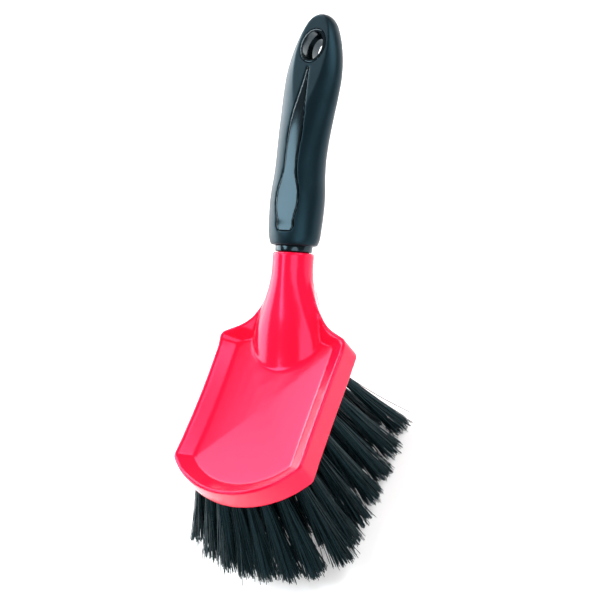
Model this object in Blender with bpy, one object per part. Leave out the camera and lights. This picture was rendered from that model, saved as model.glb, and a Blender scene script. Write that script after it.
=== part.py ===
"""A hand wheel brush: a moulded head with a slanted socket, a two-part handle and flared bristle tufts.

The head frame has its origin between the front corners of the rim, +Y towards the handle and +Z out of
the back of the head. The empty "brush" carries everything to the world frame, where the brush stands
on the tips of its bristles.
"""

import math

import bmesh
import bpy
from mathutils import Matrix, Vector

MM = 0.001
GAP = 0.3 * MM  # clearance between pieces that touch on the real brush

# Where the head frame sits in the world: the tips stand on z = 0, the outline is centred on x = y = 0.
BRUSH_PLACE = Vector((0.0, -105.44, 72.04)) * MM

# Head shell, seen from above: straight sides, an arched front and a back that runs into the socket
RIM_HALF_WIDTH = 40.2 * MM
RIM_WAIST = 0.9 * MM  # how far the sides draw in halfway along
SIDE_LENGTH = 80.0 * MM
FRONT_SAGITTA = 21.2 * MM
CORNER_RADIUS = 7.0 * MM
RIM_WIDTH = 2.5 * MM
RIM_Z = 0.9 * MM
FLOOR_Z = -4.7 * MM
UNDERSIDE_Z = -15.3 * MM
SPARE = 6.0 * MM  # depth that the shell is drawn with below its underside, then planed off
BACK_Y = 88.0 * MM
SIDE_DRAFT = 1.2 * MM  # the sides stand out at the base, the front is upright
DISH_SLOPE = 6.7 * MM  # how far the inner walls run in on their way down to the floor
DISH_BACK_Y = 83.0 * MM
FLOOR_CORNER_RADIUS = 2.5 * MM

# Socket for the handle
SOCKET_END = Vector((0.0, 125.5, 21.3)) * MM
SOCKET_ANGLE = math.radians(33)
SOCKET_RADIUS = 11.9 * MM
SOCKET_LENGTH = 74.0 * MM
SOCKET_FLARE = 0.15  # gain in half-width for each unit of length down from the end
BORE_RADIUS = 8.3 * MM
BORE_DEPTH = 31.0 * MM

# Shoulder webs that blend the back wall into the socket: (half-width, y) from the corner to the neck, in mm
SHOULDER = [
    (39.5, 79.0), (36.0, 84.8), (29.6, 88.6), (24.4, 93.0), (19.8, 98.0), (16.2, 103.5), (12.5, 112.0),
]
SHOULDER_TOP_SLOPE = math.radians(24)
WEB_TOP_Z = 30.0 * MM
BLOCK_SIZE = 400.0 * MM  # of the blocks that plane a piece off along a flat face

# Tufts
TUFT_ROOT_RADIUS = 2.6 * MM
TUFT_TIP_RADIUS = 4.8 * MM
TUFT_FREE_LENGTH = 55.2 * MM  # in the middle of the back row
FRONT_SHORTER = 1.3 * MM  # what the front row is shorter
SIDE_LONGER = 2.6 * MM  # what the outer columns are longer, as they lean and are trimmed level
TUFT_DEPTH = 7.6 * MM
TUFT_SIDES = 10
COLUMN_PITCH = 10.3 * MM
ROW_PITCH = 11.9 * MM
BACK_ROW_Y = 71.0 * MM
STRAIGHT_ROWS = 6
STRAIGHT_COLUMNS = 7
INNER_ROW_Y = 0.5 * MM
INNER_ROW_COLUMNS = 4
FRONT_ROW_COLUMNS = 8
FRONT_ROW_PITCH = 8.9 * MM
FRONT_ROW_INSET = 8.8 * MM
SIDE_LEAN = 0.30  # sideways run of the outer column for each unit of height
FRONT_LEAN = 0.58  # forward run of the front row for each unit of height
OUTER_COLUMN_X = 31.0 * MM
FRONT_ROW_Y = -11.0 * MM

# Handle: (distance from the socket end, half-width, half-height), all in mm
GRIP_SECTIONS = [
    (4.0, 12.9, 11.4), (4.9, 13.9, 12.2), (7.3, 14.9, 12.7), (12.8, 15.6, 13.2), (18.4, 16.0, 13.5),
    (24.3, 16.25, 13.6), (30.0, 16.3, 13.6), (35.7, 16.0, 13.4), (41.5, 15.4, 13.1), (47.3, 15.1, 12.6),
    (52.9, 15.0, 12.3), (59.0, 15.2, 12.0), (70.8, 15.8, 11.6), (82.0, 16.5, 11.2), (94.0, 17.2, 10.9),
    (103.0, 17.3, 10.7), (111.0, 16.5, 10.5), (119.0, 14.9, 10.3), (126.0, 12.8, 9.9), (131.5, 10.6, 9.2),
    (135.5, 8.3, 7.9), (138.5, 6.0, 6.2), (140.4, 3.4, 3.9),
]
HANDLE_BENDS = [(0.0, 25.0, 33.0, 29.0), (45.0, 80.0, 29.0, 20.2), (80.0, 145.0, 20.2, 19.5)]
GRIP_WALL = 2.6 * MM
CORE_END = 134.0 * MM
NECK_RADIUS = 10.75 * MM
NECK_LENGTH = 3.6 * MM
TANG_RADIUS = 8.0 * MM
TANG_LENGTH = 30.0 * MM
# Glossy strip in the top of the grip: (distance from the socket end, half-width), in mm
STRIP = [
    (12.0, 4.3), (18.4, 5.35), (24.3, 6.8), (30.0, 7.15), (35.7, 6.6), (41.5, 4.85), (47.3, 4.0),
    (55.0, 3.9), (65.0, 4.25), (76.0, 3.75), (89.0, 2.15), (101.0, 0.8), (106.0, 0.4),
]
FACET_HEIGHT = 7.8 * MM  # from the centre line to the flat facets round the hang hole
FACET_START = 74.0 * MM
FACET_TILT = math.radians(4.5)  # they come closer together towards the end, so each starts in a point
FACET_COVER = 1.6 * MM  # soft plastic left between a facet and the core
EYE_CENTRE = 119.0 * MM
EYE_HALF_LENGTH = 9.0 * MM
EYE_HALF_WIDTH = 6.2 * MM
EYE_WALL = 1.8 * MM
EYE_REACH = 14.0 * MM  # how far the eye's plug and cutters run past the facets

parts = None
cutters = None
brush = None


def clear_scene():
    for obj in list(bpy.data.objects):
        bpy.data.objects.remove(obj, do_unlink=True)


def make_collection(name, parent=None):
    collection = bpy.data.collections.new(name)
    (parent or bpy.context.scene.collection).children.link(collection)
    return collection


def plastic(name, colour, roughness):
    material = bpy.data.materials.new(name)
    material.use_nodes = True
    shader = material.node_tree.nodes["Principled BSDF"]
    shader.inputs["Base Color"].default_value = (*colour, 1.0)
    shader.inputs["Roughness"].default_value = roughness
    shader.inputs["Metallic"].default_value = 0.0
    return material


def make_object(name, bm, material=None, home=None):
    """A part where a material is given, otherwise a hidden cutter or building piece."""
    bmesh.ops.recalc_face_normals(bm, faces=bm.faces)
    mesh = bpy.data.meshes.new(name)
    bm.to_mesh(mesh)
    bm.free()
    obj = bpy.data.objects.new(name, mesh)
    obj.parent = brush
    if material:
        mesh.materials.append(material)
    else:
        obj.hide_render = True
        obj.display_type = "WIRE"
    (home or (parts if material else cutters)).objects.link(obj)
    mesh.shade_smooth()
    mesh.set_sharp_from_angle(angle=math.radians(35))
    return obj


def boolean(obj, other, operation="DIFFERENCE", solver="EXACT"):
    modifier = obj.modifiers.new(f"{operation.lower()} {other.name}", "BOOLEAN")
    modifier.operation = operation
    modifier.object = other
    modifier.solver = solver
    return modifier


def loft(rings):
    """A closed solid through rings that have equal numbers of points, with a flat cap on each end."""
    bm = bmesh.new()
    loops = []
    for ring in rings:
        verts = [bm.verts.new(point) for point in ring]
        loops.append([bm.edges.new((a, b)) for a, b in zip(verts, verts[1:] + verts[:1])])
    for first, second in zip(loops, loops[1:]):
        bmesh.ops.bridge_loops(bm, edges=first + second)
    for loop in (loops[0], loops[-1]):
        bmesh.ops.contextual_create(bm, geom=loop)
    bmesh.ops.triangulate(bm, faces=bm.faces)
    return bm


def rounded(corners, steps=4):
    """The outline through corners given as (x, y, radius), with an arc of that radius at each."""
    points = []
    for i, (x, y, radius) in enumerate(corners):
        corner = Vector((x, y))
        if radius == 0:
            points.append(corner)
            continue
        back = (Vector(corners[i - 1][:2]) - corner).normalized()
        ahead = (Vector(corners[(i + 1) % len(corners)][:2]) - corner).normalized()
        half = back.angle(ahead) / 2
        centre = corner + (back + ahead).normalized() * radius / math.sin(half)
        spoke = corner + back * radius / math.tan(half) - centre
        turn = math.copysign(math.pi - 2 * half, back.cross(ahead)) / -steps
        points += [centre + Matrix.Rotation(turn * step, 2) @ spoke for step in range(steps + 1)]
    return points


def head_outline(inset, back_y, corner_radius):
    """The head seen from above, drawn in by inset at the sides and front."""
    half_width = RIM_HALF_WIDTH - inset
    front_radius = (RIM_HALF_WIDTH**2 + FRONT_SAGITTA**2) / (2 * FRONT_SAGITTA)
    reach = front_radius - inset
    centre_y = front_radius - FRONT_SAGITTA
    side = []
    for share in (0.25, 0.5, 0.75):
        waist = RIM_WAIST * (1 - (2 * share - 1) ** 2)
        side.append((half_width - waist, SIDE_LENGTH * share, 0.0))
    corner_angle = math.asin(half_width / reach)
    front = []
    for step in range(1, 6):
        angle = corner_angle * step / 6
        front.append((reach * math.sin(angle), centre_y - reach * math.cos(angle), 0.0))
    corner = (half_width, centre_y - reach * math.cos(corner_angle), corner_radius)
    back = [(half_width, back_y - 8.0 * MM, 0.0), (half_width - 8.0 * MM, back_y, 0.0)]
    right = [*front, corner, *side, *back]
    left = [(-x, y, radius) for x, y, radius in reversed(right)]
    return rounded([*right, *left, (0.0, centre_y - reach, 0.0)])


def at_height(outline, z):
    return [Vector((point.x, point.y, z)) for point in outline]


def socket_point(distance, x=0.0, height=0.0):
    """A point in the socket's own axes: distance down from its end, sideways, and square to its top."""
    down = Vector((0.0, -math.cos(SOCKET_ANGLE), -math.sin(SOCKET_ANGLE)))
    up = Vector((0.0, -math.sin(SOCKET_ANGLE), math.cos(SOCKET_ANGLE)))
    return SOCKET_END + down * distance + up * height + Vector((x, 0.0, 0.0))


def ellipse(centre, across, up, half_width, half_height, steps):
    turn = [2 * math.pi * step / steps for step in range(steps)]
    return [centre + across * half_width * math.cos(a) + up * half_height * math.sin(a) for a in turn]


def socket_rings(radius, flare, distances, steps):
    up = socket_point(0, 0, 1) - SOCKET_END
    across = Vector((1.0, 0.0, 0.0))
    rings = []
    for distance in distances:
        rings.append(ellipse(socket_point(distance), across, up, radius + flare * distance, radius, steps))
    return rings


def half_space(name, origin, tilt, side, behind=None):
    """A large block with one face through origin, tilted about X: side 1 fills above it and -1 below.

    It reaches half its size behind the origin, or only as far as behind.
    """
    half = BLOCK_SIZE / 2
    bm = bmesh.new()
    bmesh.ops.create_cube(bm, size=BLOCK_SIZE)
    shift = 0.0 if behind is None else half - behind
    bmesh.ops.translate(bm, vec=(0.0, shift, side * half), verts=bm.verts)
    bmesh.ops.rotate(bm, cent=(0, 0, 0), matrix=Matrix.Rotation(tilt, 3, "X"), verts=bm.verts)
    bmesh.ops.translate(bm, vec=origin, verts=bm.verts)
    return make_object(name, bm)


def shoulder_webs():
    half = [Vector((x, y)) * MM for x, y in SHOULDER]
    outline = half + [Vector((-point.x, point.y)) for point in reversed(half)]
    prism = [at_height(outline, UNDERSIDE_Z - SPARE / 2), at_height(outline, WEB_TOP_Z)]
    webs = make_object("shoulder_webs", loft(prism))
    over = Vector((0.0, SHOULDER[1][1] * MM, RIM_Z))
    under = socket_point(0, 0, GAP - SOCKET_RADIUS)
    boolean(webs, half_space("over_web_cut", over, SHOULDER_TOP_SLOPE, 1))
    boolean(webs, half_space("under_web_cut", under, SOCKET_ANGLE, -1))
    return webs


def brush_head(material):
    """The shell, dished out, with its shoulders and socket; it is drawn too deep and planed off below."""
    depth = RIM_Z - UNDERSIDE_Z
    top = head_outline(0.0, BACK_Y, CORNER_RADIUS)
    spread = 1 + SIDE_DRAFT / RIM_HALF_WIDTH * (1 + SPARE / depth)
    base = [Vector((point.x * spread, point.y)) for point in top]
    shell = loft([at_height(base, UNDERSIDE_Z - SPARE), at_height(top, RIM_Z)])
    head = make_object("brush_head", shell, material)
    rise = RIM_Z - FLOOR_Z
    floor = head_outline(RIM_WIDTH + DISH_SLOPE, DISH_BACK_Y, FLOOR_CORNER_RADIUS)
    mouth = head_outline(RIM_WIDTH - DISH_SLOPE, DISH_BACK_Y + 2 * RIM_WIDTH, FLOOR_CORNER_RADIUS)
    boolean(head, make_object("dish_cut", loft([at_height(floor, FLOOR_Z), at_height(mouth, RIM_Z + rise)])))
    boolean(head, shoulder_webs(), "UNION")
    distances = (0.0, SOCKET_LENGTH / 2, SOCKET_LENGTH)
    socket = loft(socket_rings(SOCKET_RADIUS, SOCKET_FLARE, distances, 28))
    boolean(head, make_object("socket", socket), "UNION")
    boolean(head, half_space("below_head_cut", Vector((0.0, 0.0, UNDERSIDE_Z)), 0.0, -1))
    bore = loft(socket_rings(BORE_RADIUS, 0.0, (-2 * MM, BORE_DEPTH), 20))
    boolean(head, make_object("handle_bore_cut", bore))
    return head


def front_row_y(x):
    front_radius = (RIM_HALF_WIDTH**2 + FRONT_SAGITTA**2) / (2 * FRONT_SAGITTA)
    return front_radius - FRONT_SAGITTA - math.sqrt((front_radius - FRONT_ROW_INSET) ** 2 - x**2)


def tuft_roots():
    """(row, column, x, y) of every tuft, from the back row to the arched front row."""
    for row in range(STRAIGHT_ROWS):
        for column in range(STRAIGHT_COLUMNS):
            x = (column - (STRAIGHT_COLUMNS - 1) / 2) * COLUMN_PITCH
            yield row + 1, column + 1, x, BACK_ROW_Y - row * ROW_PITCH
    for column in range(INNER_ROW_COLUMNS):
        x = (column - (INNER_ROW_COLUMNS - 1) / 2) * COLUMN_PITCH
        yield STRAIGHT_ROWS + 1, column + 1, x, INNER_ROW_Y
    for column in range(FRONT_ROW_COLUMNS):
        x = (column - (FRONT_ROW_COLUMNS - 1) / 2) * FRONT_ROW_PITCH
        yield STRAIGHT_ROWS + 2, column + 1, x, front_row_y(x)


def tuft_direction(x, y):
    """Tufts lean out to the sides and, row by row, more and more forward."""
    forward = FRONT_LEAN * (BACK_ROW_Y - y) / (BACK_ROW_Y - FRONT_ROW_Y)
    return Vector((SIDE_LEAN * x / OUTER_COLUMN_X, -forward, -1.0)).normalized()


def tuft_length(x, y):
    shorter = FRONT_SHORTER * (BACK_ROW_Y - y) / (BACK_ROW_Y - FRONT_ROW_Y)
    return TUFT_FREE_LENGTH - shorter + SIDE_LONGER * (x / OUTER_COLUMN_X) ** 2


def tuft_ring(root, direction, distance, radius):
    across = Vector((0.0, 1.0, 0.0)).cross(direction).normalized()
    return ellipse(root + direction * distance, across, across.cross(direction), radius, radius, TUFT_SIDES)


def tufts(material, head):
    """Each tuft is a bundle held in a blind hole, parallel in the hole and flared below it."""
    holes = make_collection("tuft_holes", cutters)
    drilled = ((-TUFT_DEPTH - GAP, TUFT_ROOT_RADIUS + GAP), (2 * MM, TUFT_ROOT_RADIUS + GAP))
    for row, column, x, y in tuft_roots():
        root = Vector((x, y, UNDERSIDE_Z))
        direction = tuft_direction(x, y)
        stations = [(-TUFT_DEPTH, TUFT_ROOT_RADIUS), (0.0, TUFT_ROOT_RADIUS)]
        stations.append((tuft_length(x, y), TUFT_TIP_RADIUS))
        bundle = [tuft_ring(root, direction, *station) for station in stations]
        make_object(f"tuft_r{row}_c{column}", loft(bundle), material)
        hole = [tuft_ring(root, direction, *station) for station in drilled]
        make_object(f"tuft_hole_r{row}_c{column}", loft(hole), home=holes)
    modifier = head.modifiers.new("tuft holes", "BOOLEAN")
    modifier.operand_type = "COLLECTION"
    modifier.collection = holes


def handle_angle(distance):
    """The slope of the handle's centre line, in radians, at a distance from the socket's end."""
    angle = HANDLE_BENDS[0][2]
    for start, finish, before, after in HANDLE_BENDS:
        share = min(max((distance - start) / (finish - start), 0.0), 1.0)
        angle += (after - before) * share * share * (3 - 2 * share)
    return math.radians(angle)


def handle_frame(distance):
    """(centre, up) of the handle at a distance from the socket's end; a negative one is in the socket."""
    centre = Vector(SOCKET_END)
    steps = max(1, int(abs(distance) / MM))
    for step in range(steps):
        angle = handle_angle((step + 0.5) / steps * distance / MM)
        centre += Vector((0.0, math.cos(angle), math.sin(angle))) * distance / steps
    angle = handle_angle(distance / MM)
    return centre, Vector((0.0, -math.sin(angle), math.cos(angle)))


def handle_ring(distance, half_width, half_height, steps=24):
    centre, up = handle_frame(distance)
    return ellipse(centre, Vector((1.0, 0.0, 0.0)), up, half_width, half_height, steps)


def grip_size(distance):
    """(half-width, half-height) of the grip, read between its sections."""
    sections = [(s * MM, w * MM, h * MM) for s, w, h in GRIP_SECTIONS]
    for (s0, w0, h0), (s1, w1, h1) in zip(sections, sections[1:]):
        if distance <= s1:
            share = max((distance - s0) / (s1 - s0), 0.0)
            return w0 + (w1 - w0) * share, h0 + (h1 - h0) * share
    return sections[-1][1:]


def core_bar(start, grow):
    """Rings of the hard core inside the grip, or of the room for it when it is grown by the gap."""
    rings = []
    for distance in [start, *(s * MM for s, _, _ in GRIP_SECTIONS if s * MM < CORE_END), CORE_END + grow]:
        width, height = grip_size(distance)
        below_facet = FACET_HEIGHT - FACET_COVER - (distance - EYE_CENTRE) * math.tan(FACET_TILT)
        height = min(height - GRIP_WALL, below_facet)
        rings.append(handle_ring(distance, width - GRIP_WALL + grow, height + grow, 20))
    return rings


def strip_rings(grow, proud):
    """The glossy strip from inside the core up to the surface of the grip, or the window for it."""
    rings = []
    for number, (distance, half_width) in enumerate(STRIP):
        position = distance * MM
        if number in (0, len(STRIP) - 1):
            position += grow * (-1 if number == 0 else 1)
        centre, up = handle_frame(position)
        width, height = grip_size(position)
        reach = half_width * MM + grow
        ring = [centre + up * (height - 2 * GRIP_WALL) + Vector((x, 0.0, 0.0)) for x in (-reach, reach)]
        for share in (1.0, 0.5, 0.0, -0.5, -1.0):
            x = share * reach
            surface = height * math.sqrt(1 - (x / width) ** 2)
            ring.append(centre + up * (surface + proud) + Vector((x, 0.0, 0.0)))
        rings.append(ring)
    return rings


def eye_outline(grow, height):
    """The oval of the hang eye, at a height from the centre line and square to it."""
    centre, up = handle_frame(EYE_CENTRE)
    along = Vector((1.0, 0.0, 0.0)).cross(up)
    across = Vector((1.0, 0.0, 0.0))
    return ellipse(centre + up * height, along, across, EYE_HALF_LENGTH + grow, EYE_HALF_WIDTH + grow, 24)


def eye_plug(name, grow):
    return make_object(name, loft([eye_outline(grow, side * EYE_REACH) for side in (-1, 1)]))


def handle_core(material, facets):
    """The hard core: tang, neck ring, bar, the strip that shows in the grip and the lining of the eye.

    Its curved pieces meet in slivers that the exact solver leaves open, so the manifold solver joins them.
    """
    up = socket_point(0, 0, 1) - SOCKET_END
    across = Vector((1.0, 0.0, 0.0))
    tang = [ellipse(socket_point(d), across, up, TANG_RADIUS, TANG_RADIUS, 20) for d in (TANG_LENGTH, -MM)]
    core = make_object("handle_core", loft(tang), material)
    neck = [handle_ring(d, NECK_RADIUS, NECK_RADIUS) for d in (GAP, NECK_LENGTH)]
    boolean(core, make_object("neck_ring", loft(neck)), "UNION", "MANIFOLD")
    boolean(core, make_object("core_bar", loft(core_bar(NECK_LENGTH - MM, 0.0))), "UNION", "MANIFOLD")
    boolean(core, make_object("strip", loft(strip_rings(0.0, 0.0))), "UNION", "MANIFOLD")
    boolean(core, eye_plug("eye_wall", EYE_WALL), "UNION", "MANIFOLD")
    boolean(core, eye_plug("eye_hole_cut", 0.0), solver="MANIFOLD")
    for facet in facets:
        boolean(core, facet, solver="MANIFOLD")
    return core


def facet_cuts():
    """Blocks that plane the flat facets round the hang hole, on the top and on the underside."""
    centre, up = handle_frame(EYE_CENTRE)
    tilt = math.atan2(-up.y, up.z)
    for name, side in (("top_facet_cut", 1), ("under_facet_cut", -1)):
        origin = centre + up * FACET_HEIGHT * side
        yield half_space(name, origin, tilt - side * FACET_TILT, side, EYE_CENTRE - FACET_START)


def soft_grip(material, facets):
    """The soft sleeve, with room for the core, a window for its strip and a hole round the eye's lining."""
    rings = [handle_ring(s * MM, w * MM, h * MM) for s, w, h in GRIP_SECTIONS]
    grip = make_object("soft_grip", loft(rings), material)
    core_room = make_object("core_room", loft(core_bar(NECK_LENGTH - 2 * MM, GAP)))
    strip_window = make_object("strip_window", loft(strip_rings(GAP, 3 * MM)))
    for cutter in (*facets, core_room, strip_window, eye_plug("eye_room", EYE_WALL + GAP)):
        boolean(grip, cutter, solver="MANIFOLD")
    return grip


def main():
    global parts, cutters, brush
    clear_scene()
    parts = make_collection("wheel_brush")
    cutters = make_collection("cutters")
    brush = bpy.data.objects.new("brush", None)
    brush.location = BRUSH_PLACE
    parts.objects.link(brush)
    head = brush_head(plastic("red_plastic", (0.80, 0.012, 0.035), 0.22))
    tufts(plastic("bristle_nylon", (0.012, 0.018, 0.021), 0.45), head)
    facets = list(facet_cuts())
    handle_core(plastic("black_plastic", (0.020, 0.028, 0.034), 0.20), facets)
    soft_grip(plastic("soft_rubber", (0.022, 0.030, 0.036), 0.50), facets)


main()
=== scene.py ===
"""Wheel brush: the finished look of a hand brush for wheels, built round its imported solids.

Everything is drawn in the head frame: its origin lies between the front corners of the rim, +Y runs
towards the handle and +Z out of the back of the head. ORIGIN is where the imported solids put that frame.
Lengths are in metres, and the numbers in the tables are millimetres.
"""

import math

import bmesh
import bpy
import numpy as np
from bpy.props import FloatProperty, FloatVectorProperty, IntProperty, PointerProperty
from mathutils import Matrix, Vector
from mathutils.bvhtree import BVHTree


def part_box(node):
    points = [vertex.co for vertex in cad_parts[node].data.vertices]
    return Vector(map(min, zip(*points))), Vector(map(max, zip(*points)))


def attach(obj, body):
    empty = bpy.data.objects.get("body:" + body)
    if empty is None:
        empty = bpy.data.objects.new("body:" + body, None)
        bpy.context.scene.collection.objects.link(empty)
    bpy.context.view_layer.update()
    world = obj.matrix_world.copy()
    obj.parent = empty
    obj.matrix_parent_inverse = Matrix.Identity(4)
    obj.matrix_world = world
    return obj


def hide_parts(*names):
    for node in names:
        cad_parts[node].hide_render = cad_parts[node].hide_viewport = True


bl_info = {
    "name": "Wheel brush",
    "version": (1, 0, 0),
    "blender": (4, 5, 0),
    "location": "View3D > Sidebar > Wheel brush",
    "description": "Builds a moulded wheel brush with a two-part handle and flared bristle tufts",
    "category": "Add Mesh",
}

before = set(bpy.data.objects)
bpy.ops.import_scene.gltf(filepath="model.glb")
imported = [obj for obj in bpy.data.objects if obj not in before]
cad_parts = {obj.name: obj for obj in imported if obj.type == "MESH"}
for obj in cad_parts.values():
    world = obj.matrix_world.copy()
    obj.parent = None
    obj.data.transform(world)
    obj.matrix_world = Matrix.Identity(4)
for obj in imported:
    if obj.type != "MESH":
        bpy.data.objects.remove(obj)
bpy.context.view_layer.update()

MM = 0.001
ACROSS = Vector((1.0, 0.0, 0.0))
WHITE = (1.0, 1.0, 1.0)
GOLDEN_ANGLE = math.radians(137.508)

UNDERSIDE_DEPTH = 15.3 * MM
SOCKET_LIP_Y = 131.98 * MM  # furthest point of the socket from the front corners


def head_origin():
    """The head frame's origin in the world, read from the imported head."""
    low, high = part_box("brush_head")
    return Vector((0.0, high.y - SOCKET_LIP_Y, low.z + UNDERSIDE_DEPTH))


ORIGIN = head_origin()

# Right half of the head's outline behind its side, as (x, y): its back corner, then its shoulder.
# SHOULDER is at the rim, SHOULDER_BASE at the foot of the walls and FLOOR_BACK round the dish floor.
SHOULDER = [
    (40.7, 81.6), (35.2, 84.4), (29.2, 87.6), (24.3, 91.6), (20.4, 96.3), (17.2, 101.4), (15.0, 106.5),
    (12.8, 112.0), (9.8, 118.0),
]
SHOULDER_BASE = [
    (40.7, 82.4), (35.2, 84.9), (28.7, 87.9), (23.0, 91.8), (18.5, 96.3), (15.1, 101.4), (12.8, 106.5),
    (11.0, 112.0), (8.6, 118.0),
]
FLOOR_BACK = [
    (30.7, 81.6), (27.5, 81.8), (24.5, 82.1), (21.8, 82.6), (19.2, 83.8), (16.0, 86.0), (13.0, 88.6),
    (10.4, 91.0), (8.0, 93.5),
]
FRONT_STEPS, SIDE_STEPS, SHOULDER_STEPS = 56, 84, 52  # points along each stretch of a half outline
ARC_POINTS, SIDE_POINTS, CURVE_POINTS, FILLET_STEPS = 40, 24, 60, 16  # the same before they are spaced evenly
SIDE_MIDDLE = 39.5  # of the straight sides of the rim, in millimetres from the front corners
WAIST = 0.9 * MM  # how far the middle of the sides is drawn in
BASE_SPREAD = 1.03  # the base is wider than the rim by this factor
BASE_TUCK = 0.7 * MM  # how far the front of the base is drawn in
FLOOR_SAG = 0.8 * MM  # how much deeper the middle of the dish is than its edge
FLOOR_INSET = 10.0 * MM  # from the outside of the rim to the dish floor
DISH_MIDDLE = Vector((0.0, 40 * MM))
BOWL_SHARES = (0.035, 0.15, 0.3, 0.5, 0.7, 0.88)  # places of the rings of the dish floor, towards its middle

# Socket, whose straight axis runs down from its end into the head
SOCKET_END_Y = 125.5  # in millimetres
SOCKET_END = Vector((0.0, SOCKET_END_Y, 21.3)) * MM
SOCKET_TILT = math.radians(33)
SOCKET_LIP = ((0.0, 0.9), (0.15, 0.45), (0.45, 0.15), (0.9, 0.0))  # (distance, inset) of its rounded lip
SOCKET_FLARE = 9.5 * MM  # how much wider the socket gets further down, on each side
CREST_SLOPE = 0.6494  # rise of the crest beside the socket
BORE_DEPTH, TANG_LENGTH, TANG_RADIUS = 31 * MM, 30 * MM, 8 * MM
HOLE_DEPTH, HOLE_START, HOLE_ROOM = 8, 3, 0.5  # of a tuft hole, in millimetres: in, out and round the tuft

# Handle: (distance from the socket end, half-width, half-height)
GRIP_SECTIONS = [
    (4.0, 13.0, 11.5), (4.4, 13.6, 12.0), (5.2, 14.1, 12.3), (7.3, 14.9, 12.7), (12.8, 15.6, 13.2),
    (18.4, 16.0, 13.5), (24.3, 16.25, 13.6), (30.0, 16.3, 13.6), (35.7, 16.0, 13.4), (41.5, 15.4, 13.1),
    (47.3, 15.1, 12.6), (52.9, 15.0, 12.3), (59.0, 15.2, 12.0), (70.8, 15.8, 11.6), (82.0, 16.5, 11.2),
    (94.0, 17.2, 10.9), (103.0, 17.3, 10.7), (111.0, 16.5, 10.5), (119.0, 14.9, 10.3), (126.0, 12.8, 9.9),
    (131.5, 10.6, 9.2), (135.8, 8.3, 7.9), (138.6, 5.7, 5.8), (140.0, 3.3, 3.6), (140.5, 1.4, 1.6),
]
# Bends of its centre line: (start, end, slope before, slope after), the slopes in degrees
HANDLE_BENDS = [(0.0, 25.0, 33.0, 29.0), (45.0, 80.0, 29.0, 20.2), (80.0, 145.0, 20.2, 19.5)]
NECK_PROFILE = ((0.3, -0.5), (0.5, 0.0), (3.2, 0.0), (4.2, -0.3))  # (distance, change of the neck's radius)
# Glossy strip in the top of the grip: (distance from the socket end, half-width)
STRIP = [
    (11.6, 3.9), (12.4, 4.6), (18.4, 5.5), (24.3, 6.8), (30.0, 7.15), (35.7, 6.4), (41.5, 4.85), (47.3, 4.0),
    (55.0, 3.9), (65.0, 4.25), (76.0, 3.75), (89.0, 2.15), (101.0, 0.8), (106.0, 0.4),
]
STRIP_SECTIONS, STRIP_POINTS = 110, 17  # sections along the strip, and points across its face
STRIP_FOOT, STRIP_CROWN = 5.0 * MM, 0.03  # its depth below the grip's top; its crown for each half-width
CORE_START, ROOM_START, CORE_END = 2.6 * MM, 1.6 * MM, 134.0 * MM  # ROOM_START is that of the grip's hollow
CORE_COVER = 6.2 * MM  # height of the core above the centre line, at the hang eye
FACET_TILT = math.radians(4.5)
FACET_START = 74 * MM
FACET_BLOCK = 0.4  # size of the blocks that plane the facets, in metres
EYE_REACH = 14.0 * MM  # of the plugs that cut the hang hole, from the centre line
EYE_STEPS, ROUND_STEPS = 72, 96  # points round the hang hole, and round the socket and the handle
EYE_LEDGE_DEPTH, EYE_LEDGE = 1.0 * MM, 1.7 * MM  # of the ledge inside the hang hole, below the centre line
PIECE_GAP = 0.25 * MM  # between core and grip

# Tufts: pitches and places in millimetres
COLUMN_PITCH, ROW_PITCH, BACK_ROW_Y = 10.3, 11.9, 71
SHORT_ROW_Y, FRONT_PITCH, FRONT_INSET = 0.5, 8.9, 8.8
FIELD_HALF_WIDTH, FIELD_LENGTH = 31, 82
FAN_ASIDE, FAN_FORWARD, LEAN_RIGHT = 0.31, 0.58, 0.05  # slopes of the tufts at the edges of the field
LONGER_RIGHT, LONGER_SIDES, SHORTER_FRONT = 3.0, 2.0, 3.5  # lengths added or taken at those edges
CLUMPS = 6  # in one tuft
LOOSE_SHARE = 0.06  # of the filaments that stand away from their tuft
ROOT_DEPTH = 5.0 * MM  # of the filaments in their hole
GROUND_GAP = 0.2 * MM  # left under the lowest filament
SEED = 4100

# Soft lights: (name, direction, distance in metres, size in metres, brightness of the face, colour)
LIGHTS = (
    ("back left softbox", (-0.593, 0.593, 0.545), 1.5, (1.4, 0.92), 6.0, WHITE),
    ("left panel", (-1.0, 0.10, 0.24), 1.0, (1.2, 0.6), 6.5, WHITE),
    ("handle softbox", (-0.48, -0.25, 0.83), 1.6, (0.90, 0.50), 9.0, (0.85, 0.95, 1.0)),
    ("back right softbox", (0.64, 0.48, 0.60), 1.7, (0.9, 0.9), 6.0, WHITE),
    ("front softbox", (0.60, -0.55, 0.60), 2.0, (1.4, 1.4), 4.0, WHITE),
)
LIGHT_TARGET = Vector((0.0, -0.02, 0.07))
CAMERA_PLACE = Vector((554.4, -442.2, 833.7)) * MM
CAMERA_ANGLES = (45.16, 46.91, -33.23)  # azimuth, elevation and roll, in degrees
SENSOR_WIDTH = 36.0  # in millimetres
FLOOR_SIZE = 8.0  # in metres


# ---------------------------------------------------------------- settings


def length_setting(name, description, default):
    """A setting for a length, with its default in millimetres."""
    return FloatProperty(name=name, description=description, default=default * MM, unit="LENGTH")


def colour_setting(name, description, default):
    return FloatVectorProperty(name=name, description=description, default=default, subtype="COLOR")


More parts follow.
